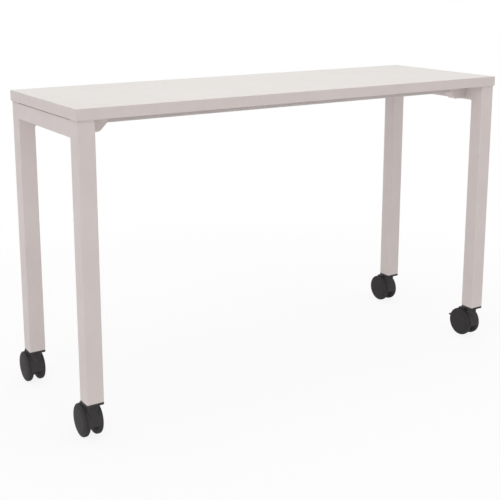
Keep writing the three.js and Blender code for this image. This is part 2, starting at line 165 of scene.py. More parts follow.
def rounded_loop(low, high, radius, steps):
    """Points of a rounded rectangle, anticlockwise from its right-hand lower corner."""
    centres = [
        (high[0] - radius, low[1] + radius, -90.0),
        (high[0] - radius, high[1] - radius, 0.0),
        (low[0] + radius, high[1] - radius, 90.0),
        (low[0] + radius, low[1] + radius, 180.0),
    ]
    loop = []
    for across, up, start in centres:
        for step in range(steps + 1):
            turn = math.radians(start + 90.0 * step / steps)
            loop.append((across + radius * math.cos(turn), up + radius * math.sin(turn)))
    return loop


def join_loops(loops, closed):
    """Points and four-sided faces between loops of equal length, back to the first if closed."""
    count = len(loops[0])
    points = [point for loop in loops for point in loop]
    faces = []
    rows = len(loops) if closed else len(loops) - 1
    for row in range(rows):
        here, there = row * count, (row + 1) % len(loops) * count
        for i in range(count):
            j = (i + 1) % count
            faces.append((here + i, here + j, there + j, there + i))
    return points, faces


def square_tube(name, low, high, axis, material):
    """An open tube along an axis (0, 1 or 2) that fills a box, with rounded corners and a wall."""
    a, b = [i for i in range(3) if i != axis]
    outer = rounded_loop((low[a], low[b]), (high[a], high[b]), LEG_CORNER, LEG_CORNER_STEPS)
    inner_low = (low[a] + LEG_WALL, low[b] + LEG_WALL)
    inner_high = (high[a] - LEG_WALL, high[b] - LEG_WALL)
    inner = rounded_loop(inner_low, inner_high, LEG_CORNER - LEG_WALL, LEG_CORNER_STEPS)

    def lifted(loop, level):
        raised = []
        for across, up in loop:
            point = [0.0, 0.0, 0.0]
            point[a], point[b], point[axis] = across, up, level
            raised.append(tuple(point))
        return raised

    ring = [
        lifted(outer, low[axis]),
        lifted(outer, high[axis]),
        lifted(inner, high[axis]),
        lifted(inner, low[axis]),
    ]
    piece = make_piece(name, *join_loops(ring, closed=True), material)
    level_flats(piece)
    return piece


coat = powder_coat("powder_coat", COAT_COLOUR, COAT_SHADE)
for corner in CORNERS:
    leg = square_tube(f"leg_tube_{corner}", *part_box(f"leg_{corner}"), 2, coat)
    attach(leg, "frame")
    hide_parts(f"leg_{corner}")


# A crossbar of the same tube joins the two legs of each end, a little below the board.
# It is welded on, and its inner wall has the square hole that a latch bolt enters.
SIDES = ["left", "right"]
MERGE = 0.02 * MM
FLAT_ANGLE = 0.5
EASE_STEPS = 2
BROAD_EASE_STEPS = 3


def eased_copy(node, name, material, ease=0.0, steps=EASE_STEPS, crease=CREASE, merge=MERGE):
    """A CAD node's own shape, merged into clean faces, with its edges rounded over."""
    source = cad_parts[node].data
    points = [tuple(vertex.co) for vertex in source.vertices]
    faces = [tuple(face.vertices) for face in source.polygons]
    mesh = bpy.data.meshes.new(name)
    mesh.from_pydata(points, [], faces)
    work = bmesh.new()
    work.from_mesh(mesh)
    bmesh.ops.remove_doubles(work, verts=work.verts, dist=merge)
    bmesh.ops.dissolve_degenerate(work, edges=work.edges, dist=merge)
    flat = math.radians(FLAT_ANGLE)
    bmesh.ops.dissolve_limit(work, angle_limit=flat, verts=work.verts, edges=work.edges)
    work.to_mesh(mesh)
    work.free()
    smooth_to(mesh, crease)
    mesh.materials.append(material)
    piece = linked(name, mesh)
    if ease > 0.0:
        bevel = piece.modifiers.new("ease", "BEVEL")
        bevel.width = ease
        bevel.segments = steps
        bevel.use_clamp_overlap = False
        bevel.limit_method = "ANGLE"
        bevel.angle_limit = math.radians(crease)
        bevel.harden_normals = True
    else:
        level_flats(piece)
    return piece


for side in SIDES:
    crossbar = eased_copy(f"crossbar_{side}", f"crossbar_tube_{side}", coat)
    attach(crossbar, "frame")
    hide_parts(f"crossbar_{side}")


# Welds, coated over, join each crossbar to its legs.
# A bead of overlapping ripples runs across the top and the underside.
# Down the sides, the groove beside the leg's rounded corner is filled and ground almost flush.
BEAD_RADIUS = 1.6 * MM
BEAD_PITCH = 1.3 * MM
BEAD_INSET = 3.0 * MM
RIPPLE_SHAPE = (0.9, 1.0, 0.8)
FILL_HOLLOW = 0.12 * MM
FILL_STEPS = 6


def ripple_tree():
    """Geometry Nodes: flattened balls along each edge of a path, closer than their own width."""
    tree = bpy.data.node_groups.new("weld_ripples", "GeometryNodeTree")
    for label, kind in [("Path", "NodeSocketGeometry"), ("Pitch", "NodeSocketFloat"),
                        ("Radius", "NodeSocketFloat"), ("Finish", "NodeSocketMaterial")]:
        tree.interface.new_socket(label, in_out="INPUT", socket_type=kind)
    tree.interface.new_socket("Bead", in_out="OUTPUT", socket_type="NodeSocketGeometry")
    given = tree.nodes.new("NodeGroupInput")
    result = tree.nodes.new("NodeGroupOutput")
    curve = tree.nodes.new("GeometryNodeMeshToCurve")
    spaced = tree.nodes.new("GeometryNodeCurveToPoints")
    spaced.mode = "LENGTH"
    ball = tree.nodes.new("GeometryNodeMeshIcoSphere")
    ball.inputs["Subdivisions"].default_value = 2
    placed = tree.nodes.new("GeometryNodeInstanceOnPoints")
    placed.inputs["Scale"].default_value = RIPPLE_SHAPE
    real = tree.nodes.new("GeometryNodeRealizeInstances")
    paint = tree.nodes.new("GeometryNodeSetMaterial")
    link = tree.links.new
    link(given.outputs["Path"], curve.inputs["Mesh"])
    link(curve.outputs["Curve"], spaced.inputs["Curve"])
    link(given.outputs["Pitch"], spaced.inputs["Length"])
    link(spaced.outputs["Points"], placed.inputs["Points"])
    link(given.outputs["Radius"], ball.inputs["Radius"])
    link(ball.outputs["Mesh"], placed.inputs["Instance"])
    link(placed.outputs["Instances"], real.inputs["Geometry"])
    link(real.outputs["Geometry"], paint.inputs["Geometry"])
    link(given.outputs["Finish"], paint.inputs["Material"])
    link(paint.outputs["Geometry"], result.inputs["Bead"])
    return tree


def grown(name, base, tree, values, crease=CREASE):
    """The mesh that a Geometry Nodes tree makes on a base mesh, kept as a plain piece."""
    seed = linked(name + "_base", base)
    modifier = seed.modifiers.new("grow", "NODES")
    modifier.node_group = tree
    for item in tree.interface.items_tree:
        if item.in_out == "INPUT" and item.name in values:
            modifier[item.identifier] = values[item.name]
    bpy.context.view_layer.update()
    evaluated = seed.evaluated_get(bpy.context.evaluated_depsgraph_get())
    mesh = bpy.data.meshes.new_from_object(evaluated)
    mesh.name = name
    bpy.data.objects.remove(seed)
    smooth_to(mesh, crease)
    return linked(name, mesh)


weld_lines = []
for side in SIDES:
    low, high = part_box(f"crossbar_{side}")
    for y in (low.y, high.y):
        for z in (low.z, high.z):
            weld_lines.append([(low.x + BEAD_INSET, y, z), (high.x - BEAD_INSET, y, z)])
weld_path = bpy.data.meshes.new("weld_path")
weld_points = [point for line in weld_lines for point in line]
weld_path.from_pydata(weld_points, [(2 * i, 2 * i + 1) for i in range(len(weld_lines))], [])
weld_values = {"Pitch": BEAD_PITCH, "Radius": BEAD_RADIUS, "Finish": coat}
welds = grown("crossbar_welds", weld_path, ripple_tree(), weld_values)
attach(welds, "frame")


def capped(loops):
    """A solid between a first and a last loop, with a flat face on each end."""
    points, faces = join_loops(loops, closed=False)
    count = len(loops[0])
    faces.append(tuple(range(count)))
    faces.append(tuple(range(len(points) - count, len(points))))
    return points, faces


def gathered(shells):
    """Several shells, each a pair of points and faces, as one such pair."""
    points, faces = [], []
    for shell_points, shell_faces in shells:
        start = len(points)
        points += shell_points
        faces += [tuple(start + i for i in face) for face in shell_faces]
    return points, faces


def groove_fill(face, seam, out, along):
    """Plan outline of the weld between a crossbar's end and a leg's rounded corner.

    out is the way out of the crossbar's face, along the way towards the leg.
    """
    loop = [(face, seam), (face - out * FILL_HOLLOW, seam + along * LEG_CORNER / 2)]
    for step in range(FILL_STEPS + 1):
        turn = math.radians(90.0 * step / FILL_STEPS)
        depth = LEG_CORNER * (1.0 - math.cos(turn))
        reach = LEG_CORNER * (1.0 - math.sin(turn))
        loop.append((face - out * depth, seam + along * reach))
    return loop


fill_shells = []
for side in SIDES:
    low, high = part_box(f"crossbar_{side}")
    foot, head = low.z + LEG_CORNER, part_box(f"leg_front_{side}")[1].z
    for face, out in ((low.x, -1.0), (high.x, 1.0)):
        for seam, along in ((low.y, -1.0), (high.y, 1.0)):
            outline = groove_fill(face, seam, out, along)
            fill_shells.append(capped([[(x, y, z) for x, y in outline] for z in (foot, head)]))
fills = make_piece("crossbar_weld_fills", *gathered(fill_shells), coat)
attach(fills, "frame")


# The stretcher ties the two end frames together at the back, out of sight under the board.
# It is a tube with a plate welded on each end, screwed to the crossbars' inner faces.
PLATE_EASE = 0.8 * MM
stretcher = square_tube("stretcher_tube", *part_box("stretcher"), 0, coat)
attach(stretcher, "frame")
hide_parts("stretcher")
for side in SIDES:
    plate = eased_copy(f"stretcher_plate_{side}", f"stretcher_end_{side}", coat, PLATE_EASE,
                       BROAD_EASE_STEPS)
    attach(plate, "frame")
    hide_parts(f"stretcher_plate_{side}")


# Moulded caps close the legs' tops: a thin flange, a plug in the tube and a pad under the board.
# They match the coat, with the soft grain of a moulding.
CAP_COLOUR = (0.72, 0.64, 0.625)
CAP_SHADE = (0.69, 0.61, 0.595)
CAP_EASE = 0.4 * MM


def cap_plastic():
    """Moulded plastic in the coat's colour."""
    material, tree, shader, place = new_finish("cap_plastic", roughness=0.55)
    mottle(tree, shader, place, CAP_COLOUR, CAP_SHADE, scale=25.0)
    uneven_gloss(tree, shader, place, smooth=0.48, rough=0.62, scale=80.0)
    pitted(tree, shader, place, scale=900.0, depth=0.0002, strength=0.15)
    return material


cap_finish = cap_plastic()
for corner in CORNERS:
    cap = eased_copy(f"leg_cap_{corner}", f"leg_top_cap_{corner}", cap_finish, CAP_EASE)
    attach(cap, "frame")
    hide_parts(f"leg_cap_{corner}")


# Each rear hinge has a coated bracket bolted to the leg, a plated pin with a collar and a plated leaf.
# The leaf is screwed under the board and its lug turns on the pin.
STEEL_COLOUR = (0.56, 0.56, 0.565)
STEEL_SHADE = (0.47, 0.47, 0.48)
HINGE_EASE = 0.45 * MM
LEAF_MERGE = 0.1 * MM
PIN_EASE = 0.4 * MM
PIN_CREASE = 40.0
HEX_EASE = 0.6 * MM
DRAWN_GRAIN = (40.0, 1400.0, 1400.0)


def plated_steel():
    """Zinc plate: a soft metal sheen with a faint drawn grain."""
    material, tree, shader, place = new_finish("plated_steel", roughness=0.34, metallic=1.0)
    mottle(tree, shader, place, STEEL_COLOUR, STEEL_SHADE, scale=120.0)
    uneven_gloss(tree, shader, place, smooth=0.26, rough=0.44, scale=220.0)
    drawn = add_node(tree, "ShaderNodeMapping")
    drawn.inputs["Scale"].default_value = DRAWN_GRAIN
    grain = add_node(tree, "ShaderNodeTexNoise", scale=1.0, detail=2.0)
    bump = add_node(tree, "ShaderNodeBump", strength=0.12, distance=0.0001)
    tree.links.new(place, drawn.inputs["Vector"])
    tree.links.new(drawn.outputs["Vector"], grain.inputs["Vector"])
    tree.links.new(grain.outputs["Fac"], bump.inputs["Height"])
    tree.links.new(bump.outputs["Normal"], shader.inputs["Normal"])
    return material


steel = plated_steel()
for side in SIDES:
    bracket = eased_copy(f"hinge_bracket_{side}", f"hinge_cheek_{side}", coat, HINGE_EASE)
    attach(bracket, "frame")
    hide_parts(f"hinge_bracket_{side}")
    pin = eased_copy(f"hinge_pin_{side}", f"hinge_pivot_{side}", steel, PIN_EASE, crease=PIN_CREASE)
    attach(pin, "frame")
    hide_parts(f"hinge_pin_{side}")
    leaf = eased_copy(f"hinge_leaf_{side}", f"hinge_strap_{side}", steel, HINGE_EASE, merge=LEAF_MERGE)
    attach(leaf, "top")
    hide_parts(f"hinge_leaf_{side}")
    for level in ("upper", "lower"):
        bolt = eased_copy(f"hinge_bolt_{level}_{side}", f"hinge_hex_{level}_{side}", steel, HEX_EASE)
        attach(bolt, "frame")
        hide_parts(f"hinge_bolt_{level}_{side}")


# The board is particle board between two sheets of pale matt laminate.
# A hair-thin arris shows where its face meets the edge band.
BOARD_COLOUR = (0.760, 0.724, 0.695)
BOARD_SHADE = (0.742, 0.706, 0.677)
BOARD_ARRIS = 0.25 * MM


def laminate():
    """Matt laminate: a faint cloud, a pinhead fleck and a fine pressed texture."""
    material, tree, shader, place = new_finish("pale_laminate", roughness=0.5, sheen_level=0.3)
    ramp = mottle(tree, shader, place, BOARD_COLOUR, BOARD_SHADE, scale=5.0)
    fleck = add_node(tree, "ShaderNodeTexNoise", scale=900.0, detail=1.0)
    level = add_node(tree, "ShaderNodeMapRange", from_min=0.35, from_max=0.65, to_min=0.965, to_max=1.02)
    tint = add_node(tree, "ShaderNodeMix", data_type="RGBA", blend_type="MULTIPLY", factor=1.0)
    tree.links.new(place, fleck.inputs["Vector"])
    tree.links.new(fleck.outputs["Fac"], level.inputs["Value"])
    tree.links.new(ramp.outputs["Color"], tint.inputs[MIX_FIRST])
    tree.links.new(level.outputs["Result"], tint.inputs[MIX_SECOND])
    tree.links.new(tint.outputs[MIX_COLOUR], shader.inputs["Base Color"])
    uneven_gloss(tree, shader, place, smooth=0.50, rough=0.62, scale=60.0)
    pitted(tree, shader, place, scale=1500.0, depth=0.0001, strength=0.10)
    return material


board_finish = laminate()
board = eased_copy("worktop_board", "laminated_board", board_finish, BOARD_ARRIS)
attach(board, "top")
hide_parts("worktop_board")


# The edge band is a plastic strip glued round the board, its arrises scraped to a small radius.
# It is warmer and darker than the laminate, close to the frame's coat.
BAND_THICKNESS = 2.0 * MM
BAND_ARRIS = 1.2 * MM
BAND_CORNER = 2.5 * MM
BAND_STEPS = 4
BAND_CORNER_STEPS = 6
BAND_COLOUR = (0.722, 0.645, 0.627)
BAND_SHADE = (0.702, 0.626, 0.608)


def band_plastic():
    """Extruded edging: a shade glossier than the board."""
    material, tree, shader, place = new_finish("band_plastic", roughness=0.45)
    mottle(tree, shader, place, BAND_COLOUR, BAND_SHADE, scale=14.0)
    uneven_gloss(tree, shader, place, smooth=0.38, rough=0.52, scale=90.0)
    pitted(tree, shader, place, scale=1100.0, depth=0.0002, strength=0.12)
    return material


band_low, band_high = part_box("edge_band")
band_profile = [(BAND_THICKNESS, band_low.z)]
for step in range(BAND_STEPS + 1):
    turn = math.radians(90.0 * step / BAND_STEPS)
    inset = BAND_ARRIS * (1.0 - math.sin(turn))
    band_profile.append((inset, band_low.z + BAND_ARRIS * (1.0 - math.cos(turn))))
for step in range(BAND_STEPS + 1):
    turn = math.radians(90.0 * step / BAND_STEPS)
    inset = BAND_ARRIS * (1.0 - math.cos(turn))
    band_profile.append((inset, band_high.z - BAND_ARRIS * (1.0 - math.sin(turn))))
band_profile.append((BAND_THICKNESS, band_high.z))
band_loops = []
for inset, level in band_profile:
    low = (band_low.x + inset, band_low.y + inset)
    high = (band_high.x - inset, band_high.y - inset)
    loop = rounded_loop(low, high, BAND_CORNER - inset, BAND_CORNER_STEPS)
    band_loops.append([(x, y, level) for x, y in loop])
band = make_piece("edge_strip", *join_loops(band_loops, closed=True), band_plastic())
level_flats(band)
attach(band, "top")
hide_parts("edge_band")


# The front latch has a chamfered housing at each end, coated like the frame, screwed to the board.
# A flat bar turns between them and drives a square plated bolt at each side; its coat is darker than the
# frame's, as painted shade for its place under the board's front edge.
HOUSING_EASE = 0.6 * MM
TONGUE_EASE = 0.5 * MM
BAR_PAINTED_SHADE_LIGHT = (0.605, 0.548, 0.535)
BAR_PAINTED_SHADE_DARK = (0.580, 0.524, 0.511)
for side in SIDES:
    housing = eased_copy(f"latch_housing_{side}", f"latch_case_{side}", coat, HOUSING_EASE,
                         BROAD_EASE_STEPS)
    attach(housing, "top")
    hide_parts(f"latch_housing_{side}")
    bolt = eased_copy(f"latch_bolt_{side}", f"latch_tongue_{side}", steel, TONGUE_EASE)
    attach(bolt, f"bolt_{side}")
    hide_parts(f"latch_bolt_{side}")
# The bar's coat is the frame's coat made darker: painted shade for the shadow under the board's front
# edge.
bar_painted_shade_coat = powder_coat("bar_painted_shade_coat", BAR_PAINTED_SHADE_LIGHT, BAR_PAINTED_SHADE_DARK)
bar = eased_copy("lock_bar", "release_bar_blade", bar_painted_shade_coat)
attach(bar, "release_bar")
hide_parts("lock_bar")


# Button-head screws hold the hinge leaves and the latch housings to the board.
# More hold the stretcher's plates to the frame. Each head is a low cone with a hexagon socket.
SCREW_RADIUS = 4.0 * MM
SCREW_HEIGHT = 2.2 * MM
SCREW_SINK = 0.1 * MM
SCREW_SIDES = 28
SCREW_TOP_SHARE = 0.68
SOCKET_SHARE = 0.42
SOCKET_SIDES = 6
SCREW_CREASE = 30.0
LEAF_PLATE = 3.0 * MM
LEAF_SCREW_ROWS = (0.12, 0.38, 0.64)
LEAF_SCREW_COLUMNS = (0.28, 0.72)
HOUSING_SCREW_REACH = (8.0 * MM, 24.0 * MM)
PLATE_SCREW_EDGE = 8.0 * MM
PLATE_SCREW_LEVELS = (0.27, 0.73)
DOWN = (0.0, 0.0, -1.0)


def screw_tree():
    """Geometry Nodes: a button head with its socket on each point, turned as the point faces."""
    tree = bpy.data.node_groups.new("button_screws", "GeometryNodeTree")
    for label, kind in [("Places", "NodeSocketGeometry"), ("Radius", "NodeSocketFloat"),
                        ("Height", "NodeSocketFloat"), ("Finish", "NodeSocketMaterial")]:
        tree.interface.new_socket(label, in_out="INPUT", socket_type=kind)
    tree.interface.new_socket("Screws", in_out="OUTPUT", socket_type="NodeSocketGeometry")
    link = tree.links.new
    given = tree.nodes.new("NodeGroupInput")
    result = tree.nodes.new("NodeGroupOutput")

    def scaled(source, factor):
        times = tree.nodes.new("ShaderNodeMath")
        times.operation = "MULTIPLY"
        times.inputs[1].default_value = factor
        link(source, times.inputs[0])
        return times.outputs[0]

    head = tree.nodes.new("GeometryNodeMeshCone")
    head.inputs["Vertices"].default_value = SCREW_SIDES
    head.inputs["Side Segments"].default_value = 2
    link(scaled(given.outputs["Radius"], SCREW_TOP_SHARE), head.inputs["Radius Top"])
    link(given.outputs["Radius"], head.inputs["Radius Bottom"])
    link(given.outputs["Height"], head.inputs["Depth"])
    socket = tree.nodes.new("GeometryNodeMeshCylinder")
    socket.inputs["Vertices"].default_value = SOCKET_SIDES
    link(scaled(given.outputs["Radius"], SOCKET_SHARE), socket.inputs["Radius"])
    link(given.outputs["Height"], socket.inputs["Depth"])
    rise = tree.nodes.new("ShaderNodeCombineXYZ")
    link(given.outputs["Height"], rise.inputs["Z"])
    raised = tree.nodes.new("GeometryNodeTransform")
    link(socket.outputs["Mesh"], raised.inputs["Geometry"])
    link(rise.outputs["Vector"], raised.inputs["Translation"])
    bored = tree.nodes.new("GeometryNodeMeshBoolean")
    bored.operation = "DIFFERENCE"
    link(head.outputs["Mesh"], bored.inputs["Mesh 1"])
    link(raised.outputs["Geometry"], bored.inputs["Mesh 2"])
    facing = tree.nodes.new("GeometryNodeInputNamedAttribute")
    facing.data_type = "FLOAT_VECTOR"
    facing.inputs["Name"].default_value = "facing"
    aim = tree.nodes.new("FunctionNodeAlignRotationToVector")
    aim.axis = "Z"
    link(facing.outputs["Attribute"], aim.inputs["Vector"])
    dots = tree.nodes.new("GeometryNodeMeshToPoints")
    link(given.outputs["Places"], dots.inputs["Mesh"])
    placed = tree.nodes.new("GeometryNodeInstanceOnPoints")
    link(dots.outputs["Points"], placed.inputs["Points"])
    link(bored.outputs["Mesh"], placed.inputs["Instance"])
    link(aim.outputs["Rotation"], placed.inputs["Rotation"])
    real = tree.nodes.new("GeometryNodeRealizeInstances")
    paint = tree.nodes.new("GeometryNodeSetMaterial")
    link(placed.outputs["Instances"], real.inputs["Geometry"])
    link(real.outputs["Geometry"], paint.inputs["Geometry"])
    link(given.outputs["Finish"], paint.inputs["Material"])
    link(paint.outputs["Geometry"], result.inputs["Screws"])
    return tree


def screws(name, places, tree):
    """Screw heads at (point, outward direction) pairs."""
    seats = bpy.data.meshes.new(name + "_seats")
    sunk = [Vector(point) - Vector(way) * SCREW_SINK for point, way in places]
    seats.from_pydata([tuple(point) for point in sunk], [], [])
    facing = seats.attributes.new("facing", "FLOAT_VECTOR", "POINT")
    facing.data.foreach_set("vector", [value for _, way in places for value in way])
    values = {"Radius": SCREW_RADIUS, "Height": SCREW_HEIGHT, "Finish": steel}
    return grown(name, seats, tree, values, SCREW_CREASE)


heads = screw_tree()
leaf_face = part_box("worktop_board")[0].z - LEAF_PLATE
board_places = []
for side in SIDES:
    low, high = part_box(f"hinge_leaf_{side}")
    for part in LEAF_SCREW_ROWS:
        for across in LEAF_SCREW_COLUMNS:
            x = low.x + (high.x - low.x) * across
            board_places.append(((x, low.y + (high.y - low.y) * part, leaf_face), DOWN))
    low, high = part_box(f"latch_housing_{side}")
    middle = (low.y + high.y) / 2
    outer = high.x if side == "right" else low.x
    inward = -1.0 if side == "right" else 1.0
    for reach in HOUSING_SCREW_REACH:
        board_places.append(((outer + inward * reach, middle, low.z), DOWN))
board_screws = screws("board_screws", board_places, heads)
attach(board_screws, "top")
frame_places = []
for side in SIDES:
    low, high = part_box(f"stretcher_plate_{side}")
    face = low.x if side == "right" else high.x
    way = (-1.0, 0.0, 0.0) if side == "right" else (1.0, 0.0, 0.0)
    for y in (low.y + PLATE_SCREW_EDGE, high.y - PLATE_SCREW_EDGE):
        for part in PLATE_SCREW_LEVELS:
            frame_places.append(((face, y, low.z + (high.z - low.z) * part), way))
frame_screws = screws("frame_screws", frame_places, heads)
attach(frame_screws, "frame")


# A black moulded socket closes each leg's foot and takes the caster's plated stem.
# Only its square flange and the stem's collar show.
PLASTIC_COLOUR = (0.063, 0.059, 0.060)
PLASTIC_SHADE = (0.056, 0.052, 0.053)
SOCKET_EASE = 0.4 * MM


def black_plastic():
    """Black moulded plastic with a fine spark-eroded grain."""
    material, tree, shader, place = new_finish("black_plastic", roughness=0.6, sheen_level=0.08)
    mottle(tree, shader, place, PLASTIC_COLOUR, PLASTIC_SHADE, scale=60.0)
    uneven_gloss(tree, shader, place, smooth=0.54, rough=0.68, scale=150.0)
    pitted(tree, shader, place, scale=1600.0, depth=0.0002, strength=0.18)
    return material


black = black_plastic()
for corner in CORNERS:
    socket = eased_copy(f"caster_socket_{corner}", f"foot_socket_{corner}", black, SOCKET_EASE)
    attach(socket, "frame")
    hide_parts(f"caster_socket_{corner}")
    stem = eased_copy(f"caster_stem_{corner}", f"swivel_stem_{corner}", steel, PIN_EASE,
                      crease=PIN_CREASE)
    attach(stem, "frame")
    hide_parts(f"caster_stem_{corner}")


# The caster's hood is one black moulding: a boss round the stem, a web between the wheels, a fender.
# On the front casters the web is slotted at the back, and its cheeks carry the brake lever's pin.
FENDER_INNER = 38.5 * MM
FENDER_OUTER = 41.3 * MM
FENDER_HALF = 16.0 * MM
FENDER_ROUND = 0.9 * MM
FENDER_BACK = 76.0
FENDER_FRONT = 186.0
FENDER_STEPS = 44
FENDER_ROUND_STEPS = 4
RIB_HALF = 5.8 * MM
RIB_INNER = 18.0 * MM
RIB_ROUND = 0.5 * MM
RIB_ROUND_STEPS = 2
RIB_BURIED = 0.8 * MM
RIB_FRONT = FENDER_FRONT - 1.0
WEB_HALF = 5.9 * MM
WEB_RADIUS = 25.0 * MM
WEB_ROUND = 0.6 * MM
WEB_ROUND_STEPS = 3
WEB_STEPS = 56
AXLE_HOLE = 3.3 * MM
BOSS_RADIUS = 13.0 * MM
BOSS_RIM = 1.6 * MM
BOSS_RIM_CUT = 0.3
BOSS_BURIED = 0.4 * MM
BOSS_STEPS = 40
STEM_HOLE = 4.3 * MM
STEM_HOLE_DEPTH = 6.0 * MM
SLOT_HALF = 3.0 * MM
SLOT_TOP = 18.0
SLOT_FOOT = 352.0
CORE_HALF = 3.7 * MM
CORE_INSET = 0.3 * MM
CORE_ROUND = 0.2 * MM
HOOD_CREASE = 40.0


def round_axle(axle, across, radius, turn):
    """A point at a distance along the axle, a radius and an angle up from the back."""
    angle = math.radians(turn)
    return (axle.x + across, axle.y + radius * math.cos(angle), axle.z + radius * math.sin(angle))


def swept(axle, section, start, end, steps):
    """A closed (across, radius) section carried round the axle between two angles."""
    turns = [start + (end - start) * step / steps for step in range(steps + 1)]
    return capped([[round_axle(axle, a, r, turn) for a, r in section] for turn in turns])


def hood_boss(axle, stem, top):
    """The boss round the stem: sides that stop on the fender, a rounded top rim and the stem's hole."""
    reach = FENDER_INNER + BOSS_BURIED
    cut = BOSS_RIM_CUT * BOSS_RIM
    profile = [
        (BOSS_RADIUS, None),
        (BOSS_RADIUS, top - BOSS_RIM),
        (BOSS_RADIUS - cut, top - cut),
        (BOSS_RADIUS - BOSS_RIM, top),
        (STEM_HOLE, top),
        (STEM_HOLE, top - STEM_HOLE_DEPTH),
    ]
    loops = []
    for radius, level in profile:
        loop = []
        for step in range(BOSS_STEPS):
            turn = math.tau * step / BOSS_STEPS
            x = stem.x + radius * math.cos(turn)
            y = stem.y + radius * math.sin(turn)
            seat = axle.z + math.sqrt(max(reach ** 2 - (y - axle.y) ** 2, 0.0))
            loop.append((x, y, seat if level is None else level))
        loops.append(loop)
    return capped(loops)


def hood_shells(axle, stem, top, braked):
    """The hood's closed shells, each as points and faces."""
    fender_low, fender_high = (-FENDER_HALF, FENDER_INNER), (FENDER_HALF, FENDER_OUTER)
    fender = rounded_loop(fender_low, fender_high, FENDER_ROUND, FENDER_ROUND_STEPS)
    rib_low, rib_high = (-RIB_HALF, RIB_INNER), (RIB_HALF, FENDER_INNER + RIB_BURIED)
    rib = rounded_loop(rib_low, rib_high, RIB_ROUND, RIB_ROUND_STEPS)
    shells = [
        swept(axle, fender, FENDER_BACK, FENDER_FRONT, FENDER_STEPS),
        swept(axle, rib, FENDER_BACK, RIB_FRONT, FENDER_STEPS),
        hood_boss(axle, stem, top),
    ]
    walls = [(-WEB_HALF, -SLOT_HALF), (SLOT_HALF, WEB_HALF)] if braked else [(-WEB_HALF, WEB_HALF)]
    turns = [360.0 * step / WEB_STEPS for step in range(WEB_STEPS)]
    for left, right in walls:
        disc = rounded_loop((left, AXLE_HOLE), (right, WEB_RADIUS), WEB_ROUND, WEB_ROUND_STEPS)
        rings = [[round_axle(axle, a, r, turn) for a, r in disc] for turn in turns]
        shells.append(join_loops(rings, closed=True))
    if braked:
        core_low = (-CORE_HALF, AXLE_HOLE + CORE_INSET)
        core_high = (CORE_HALF, WEB_RADIUS - CORE_INSET)
        core = rounded_loop(core_low, core_high, CORE_ROUND, steps=1)
        shells.append(swept(axle, core, SLOT_TOP, SLOT_FOOT, WEB_STEPS))
    return shells


def fusing_tree():
    """Geometry Nodes: overlapping closed shells joined into one skin."""
    tree = bpy.data.node_groups.new("fused_shells", "GeometryNodeTree")
    tree.interface.new_socket("Shells", in_out="INPUT", socket_type="NodeSocketGeometry")
    tree.interface.new_socket("Skin", in_out="OUTPUT", socket_type="NodeSocketGeometry")
    given = tree.nodes.new("NodeGroupInput")
    result = tree.nodes.new("NodeGroupOutput")
    union = tree.nodes.new("GeometryNodeMeshBoolean")
    union.operation = "UNION"
    union.solver = "EXACT"
    union.inputs["Self Intersection"].default_value = True
    tree.links.new(given.outputs["Shells"], union.inputs["Mesh 2"])
    tree.links.new(union.outputs["Mesh"], result.inputs["Skin"])
    return tree


def hood_skin(axle, stem, top, braked, tree):
    """The hood's shells fused into one clean mesh."""
    shells = make_piece("hood_shells", *gathered(hood_shells(axle, stem, top, braked)), black)
    fused = grown("hood_skin", shells.data, tree, {}, HOOD_CREASE)
    skin = fused.data
    bpy.data.objects.remove(shells)
    bpy.data.objects.remove(fused)
    work = bmesh.new()
    work.from_mesh(skin)
    bmesh.ops.remove_doubles(work, verts=work.verts, dist=MERGE)
    bmesh.ops.dissolve_degenerate(work, edges=work.edges, dist=MERGE)
    bmesh.ops.triangulate(work, faces=[face for face in work.faces if len(face.verts) > 4])
    bmesh.ops.dissolve_degenerate(work, edges=work.edges, dist=MERGE)
    work.to_mesh(skin)
    work.free()
    return skin


fusing = fusing_tree()
hood_skins = {}
for corner in CORNERS:
    axle_low, axle_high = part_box(f"caster_axle_{corner}")
    stem_low, stem_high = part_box(f"caster_stem_{corner}")
    axle_centre = (axle_low + axle_high) / 2
    stem_centre = (stem_low + stem_high) / 2
    hood_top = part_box(f"caster_hood_{corner}")[1].z
    braked = corner.startswith("front")
    if braked not in hood_skins:
        first = hood_skin(axle_centre, stem_centre, hood_top, braked, fusing)
        hood_skins[braked] = (first, axle_centre)
    first, first_centre = hood_skins[braked]
    skin = first.copy()
    skin.transform(Matrix.Translation(axle_centre - first_centre))
    hood = linked(f"caster_cover_{corner}", skin)
    level_flats(hood)
    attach(hood, f"swivel_{corner}")
    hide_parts(f"caster_hood_{corner}")
    axle = eased_copy(f"caster_axle_{corner}", f"wheel_pin_{corner}", steel, PIN_EASE,
                      crease=PIN_CREASE)
    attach(axle, f"swivel_{corner}")
    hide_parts(f"caster_axle_{corner}")


# Twin wheels, moulded black, with a crowned tread, a domed face and a cover disc in a fine groove.
# The tread is a shade duller than the face where the floor has rubbed it.
WHEEL_COLOUR = (0.047, 0.043, 0.044, 1.0)
TREAD_COLOUR = (0.056, 0.052, 0.052, 1.0)
WHEEL_STEPS = 84
WHEEL_CREASE = 42.0
TREAD_RADIUS = 37.0 * MM
